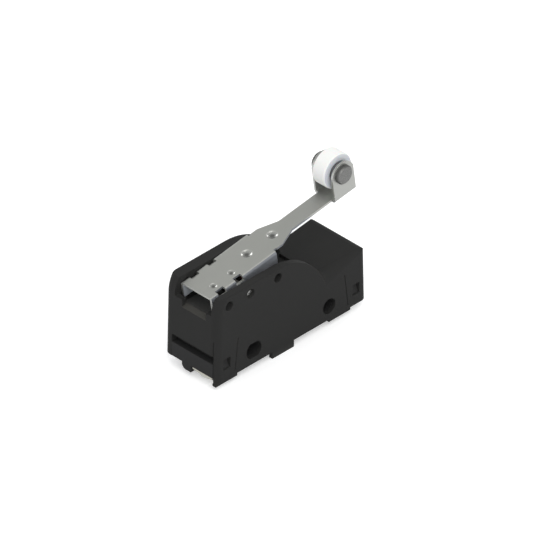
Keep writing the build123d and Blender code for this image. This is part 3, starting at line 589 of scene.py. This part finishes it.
screw_tree = bpy.data.node_groups.new("threaded screw", "GeometryNodeTree")
GEOMETRY, MATERIAL = "NodeSocketGeometry", "NodeSocketMaterial"
screw_tree.interface.new_socket("Blank", in_out="INPUT", socket_type=GEOMETRY)
for label, value in [("Core Radius", thread_radius - thread_depth), ("Pitch", thread_pitch),
                     ("Ridge", thread_depth), ("Slot Width", slot_width), ("Slot Length", 4 * mm),
                     ("Slot Depth", 0.5 * mm), ("Slot Turn", 0.0), ("Thread Length", 3 * mm)]:
    number = screw_tree.interface.new_socket(label, in_out="INPUT", socket_type=NUMBER)
    number.default_value = value
screw_tree.interface.new_socket("Thread Start", in_out="INPUT", socket_type=DIRECTION)
screw_tree.interface.new_socket("Head Face", in_out="INPUT", socket_type=DIRECTION)
screw_tree.interface.new_socket("Finish", in_out="INPUT", socket_type=MATERIAL)
screw_tree.interface.new_socket("Screw", in_out="OUTPUT", socket_type=GEOMETRY)
screw_in = screw_tree.nodes.new("NodeGroupInput")
screw_out = screw_tree.nodes.new("NodeGroupOutput")
given = screw_in.outputs
turns = maths(screw_tree, "DIVIDE", given["Thread Length"], given["Pitch"])
helix = add_node(screw_tree, "GeometryNodeCurveSpiral",
                 {"Resolution": thread_steps, "Rotations": turns, "Start Radius": given["Core Radius"],
                  "End Radius": given["Core Radius"], "Height": given["Thread Length"]})
ridge = add_node(screw_tree, "GeometryNodeCurvePrimitiveCircle",
                 {"Resolution": ridge_sides, "Radius": given["Ridge"]}, mode="RADIUS")
thread = add_node(screw_tree, "GeometryNodeCurveToMesh",
                  {"Curve": helix.outputs["Curve"], "Profile Curve": ridge.outputs["Curve"],
                   "Fill Caps": True})
thread_placed = add_node(screw_tree, "GeometryNodeTransform",
                         {"Geometry": thread.outputs["Mesh"], "Translation": given["Thread Start"]})
deep = maths(screw_tree, "MULTIPLY", given["Slot Depth"], 2.0)
shallow = maths(screw_tree, "MULTIPLY", deep, second_slot)
cross = add_node(screw_tree, "GeometryNodeMeshBoolean", operation="UNION")
for length, width, depth in (("Slot Length", "Slot Width", deep), ("Slot Width", "Slot Length", shallow)):
    size = add_node(screw_tree, "ShaderNodeCombineXYZ", {"X": given[length], "Y": given[width], "Z": depth})
    bar = add_node(screw_tree, "GeometryNodeMeshCube", {"Size": size.outputs["Vector"]})
    screw_tree.links.new(bar.outputs["Mesh"], cross.inputs["Mesh 2"])
slot_turn = add_node(screw_tree, "ShaderNodeCombineXYZ", {"Z": given["Slot Turn"]})
cross_placed = add_node(screw_tree, "GeometryNodeTransform",
                        {"Geometry": cross.outputs["Mesh"], "Translation": given["Head Face"],
                         "Rotation": slot_turn.outputs["Vector"]})
cut = add_node(screw_tree, "GeometryNodeMeshBoolean",
               {"Mesh 1": given["Blank"], "Mesh 2": cross_placed.outputs["Geometry"]}, operation="DIFFERENCE")
joined = add_node(screw_tree, "GeometryNodeJoinGeometry")
for source in (cut.outputs["Mesh"], thread_placed.outputs["Geometry"]):
    screw_tree.links.new(source, joined.inputs["Geometry"])
real = add_node(screw_tree, "GeometryNodeRealizeInstances", {"Geometry": joined.outputs["Geometry"]})
dressed = add_node(screw_tree, "GeometryNodeSetMaterial",
                   {"Geometry": real.outputs["Geometry"], "Material": given["Finish"]})
screw_tree.links.new(dressed.outputs["Geometry"], screw_out.inputs["Screw"])


def finished_mesh(blank, tree, values):
    """Runs a geometry tree on an object, keeps the result as its plain mesh and drops the modifier."""
    maker = blank.modifiers.new("maker", "NODES")
    maker.node_group = tree
    sockets = {item.name: item.identifier for item in tree.interface.items_tree if item.in_out == "INPUT"}
    for label, value in values.items():
        maker[sockets[label]] = value
    seen = bpy.context.evaluated_depsgraph_get()
    made = bpy.data.meshes.new_from_object(blank.evaluated_get(seen))
    blank.modifiers.remove(maker)
    blank.data = made


for terminal in terminals:
    low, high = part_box(f"{terminal}_screw")
    clamp_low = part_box(f"{terminal}_clamp")[0]
    centre = middle_of(f"{terminal}_screw")
    head_radius = (high[0] - low[0]) / 2
    head_face, head_back, tip = low[2], clamp_low[2], high[2]
    head_height = head_back - head_face
    core = thread_radius - thread_depth
    dome = [(head_radius * sin(turn), head_face + dome_share * head_height * (1 - cos(turn)))
            for turn in dome_turns]
    profile = [(0, head_face)] + dome + [
        (head_radius, head_back - head_edge), (head_radius - head_edge, head_back),
        (thread_radius, head_back), (core, head_back + core_taper), (core, tip - core_taper),
        (core - core_taper, tip), (0, tip)]
    blank_mesh = bpy.data.meshes.new(f"{terminal}_screw_threaded")
    shape = lathe(profile, screw_sides, centre)
    shape.to_mesh(blank_mesh)
    shape.free()
    screw = bpy.data.objects.new(f"{terminal}_screw_threaded", blank_mesh)
    bpy.context.scene.collection.objects.link(screw)
    start = head_back + thread_start
    finished_mesh(screw, screw_tree, {
        "Core Radius": core, "Pitch": thread_pitch, "Ridge": thread_depth, "Slot Width": slot_width,
        "Slot Length": slot_reach * head_radius, "Slot Depth": slot_share * head_height,
        "Slot Turn": slot_turns[terminal], "Thread Length": tip - thread_start - start,
        "Thread Start": (centre[0], centre[1], start), "Head Face": (centre[0], centre[1], head_face),
        "Finish": screw_zinc})
    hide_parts(f"{terminal}_screw")
    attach(screw, f"{terminal}_clamping")


# Floor and light
# A plain pale floor carries the switch, under a soft room and four lamps. Two of the lamps are
# small and stand behind it, for the glints in the lever's dimples.
floor_size = 4.0
floor_grey = (0.8, 0.8, 0.8, 1)
camera_glow = 0.42
mirror_glow = 0.15
floor_mesh = bpy.data.meshes.new("floor")
corner = floor_size / 2
floor_mesh.from_pydata([(-corner, -corner, cad_low.z), (corner, -corner, cad_low.z),
                        (corner, corner, cad_low.z), (-corner, corner, cad_low.z)], [], [(0, 1, 2, 3)])
floor = bpy.data.objects.new("floor", floor_mesh)
bpy.context.scene.collection.objects.link(floor)
floor_paint = bpy.data.materials.new("floor paint")
floor_paint.use_nodes = True
tree = floor_paint.node_tree
tree.nodes.remove(tree.nodes["Principled BSDF"])
matt = add_node(tree, "ShaderNodeBsdfDiffuse", {"Color": floor_grey})
ray = tree.nodes.new("ShaderNodeLightPath").outputs
seen_ray = maths(tree, "MAXIMUM", ray["Is Camera Ray"], ray["Is Transmission Ray"])
glow_strength = maths(tree, "ADD", maths(tree, "MULTIPLY", seen_ray, camera_glow),
                      maths(tree, "MULTIPLY", ray["Is Glossy Ray"], mirror_glow))
glow = add_node(tree, "ShaderNodeEmission", {"Color": (1, 1, 1, 1), "Strength": glow_strength})
both = tree.nodes.new("ShaderNodeAddShader")
under = tree.nodes.new("ShaderNodeMixShader")
clear = tree.nodes.new("ShaderNodeBsdfTransparent")
side = tree.nodes.new("ShaderNodeNewGeometry")
for source, socket in ((matt.outputs[0], both.inputs[0]), (glow.outputs[0], both.inputs[1]),
                       (side.outputs["Backfacing"], under.inputs[0]), (both.outputs[0], under.inputs[1]),
                       (clear.outputs[0], under.inputs[2]),
                       (under.outputs[0], tree.nodes["Material Output"].inputs["Surface"])):
    tree.links.new(source, socket)
floor_mesh.materials.append(floor_paint)
floor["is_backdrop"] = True

air_colour = (0.98, 0.99, 1.0, 1)
air_strength = 0.86
mirror_colour = (0.99, 1.0, 0.975, 1)
ceiling_way = Vector((0.35, 0.55, 0.76)).normalized()
ceiling_from, ceiling_to = -0.2, 0.75
ceiling_bright, ceiling_dim = 1.05, 0.58
room = bpy.data.worlds.new("room")
room.use_nodes = True
bpy.context.scene.world = room
tree = room.node_tree
air = tree.nodes["Background"]
air.inputs["Color"].default_value = air_colour
air.inputs["Strength"].default_value = air_strength
toward = tree.nodes.new("ShaderNodeTexCoord").outputs["Generated"]
ceiling = add_node(tree, "ShaderNodeMapRange",
                   {"Value": vector_maths(tree, "DOT_PRODUCT", toward, ceiling_way),
                    "From Min": ceiling_from, "From Max": ceiling_to,
                    "To Min": ceiling_bright, "To Max": ceiling_dim}, interpolation_type="SMOOTHSTEP")
mirrored = add_node(tree, "ShaderNodeBackground",
                    {"Color": mirror_colour, "Strength": ceiling.outputs["Result"]})
white = add_node(tree, "ShaderNodeBackground", {"Color": (1, 1, 1, 1), "Strength": 1.0})
ray = tree.nodes.new("ShaderNodeLightPath").outputs
seen_ray = maths(tree, "MAXIMUM", ray["Is Camera Ray"], ray["Is Transmission Ray"])
bright_part = tree.nodes.new("ShaderNodeMixShader")
chosen = tree.nodes.new("ShaderNodeMixShader")
for source, socket in ((ray["Is Glossy Ray"], bright_part.inputs[0]), (air.outputs[0], bright_part.inputs[1]),
                       (mirrored.outputs[0], bright_part.inputs[2]), (seen_ray, chosen.inputs[0]),
                       (bright_part.outputs[0], chosen.inputs[1]), (white.outputs[0], chosen.inputs[2]),
                       (chosen.outputs[0], tree.nodes["World Output"].inputs["Surface"])):
    tree.links.new(source, socket)


def lamp(name, direction, distance, size, power, colour):
    """Square lamp that shines at the switch from a direction."""
    light = bpy.data.lights.new(name, "AREA")
    light.size = size
    light.energy = power
    light.color = colour
    holder = bpy.data.objects.new(name, light)
    way = Vector(direction).normalized()
    holder.location = way * distance
    holder.rotation_euler = way.to_track_quat("Z", "Y").to_euler()
    bpy.context.scene.collection.objects.link(holder)


lamp("key lamp", (-0.3, -0.6, 1.0), 0.5, 0.35, 0.7, (1.0, 0.99, 0.97))
lamp("front lamp", (-0.6, -1.0, 0.45), 0.7, 0.4, 0.2, (0.96, 0.98, 1.0))
lamp("back glint", (0.09, 0.93, 0.34), 0.6, 0.22, 0.36, (1.0, 1.0, 1.0))
lamp("end glint", (0.83, 0.18, 0.53), 0.6, 0.13, 0.2, (1.0, 1.0, 1.0))


# Camera
# The photograph looks down from the front left corner, from far away with a very long lens, so
# that edges stay almost parallel.
photo_side = 533
pixels_per_metre = 4185.0
case_middle_px = (265.74, 313.04)
camera_distance = 5.0
view_turn = radians(45)
view_down = radians(35.264)
look = Vector((cos(view_down) * sin(view_turn), cos(view_down) * cos(view_turn), -sin(view_down)))
turn = look.to_track_quat("-Z", "Y")
across, up = turn @ Vector((1, 0, 0)), turn @ Vector((0, 1, 0))
aim = (case_middle + across * ((photo_side / 2 - case_middle_px[0]) / pixels_per_metre)
       + up * ((case_middle_px[1] - photo_side / 2) / pixels_per_metre))
camera = bpy.data.cameras.new("camera")
camera.sensor_width = 36.0
camera.lens = camera.sensor_width * camera_distance * pixels_per_metre / photo_side
camera.clip_end = 20.0
viewer = bpy.data.objects.new("camera", camera)
viewer.location = aim - look * camera_distance
viewer.rotation_euler = turn.to_euler()
bpy.context.scene.collection.objects.link(viewer)
bpy.context.scene.camera = viewer
bpy.context.scene.view_settings.view_transform = "Standard"

low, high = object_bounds()
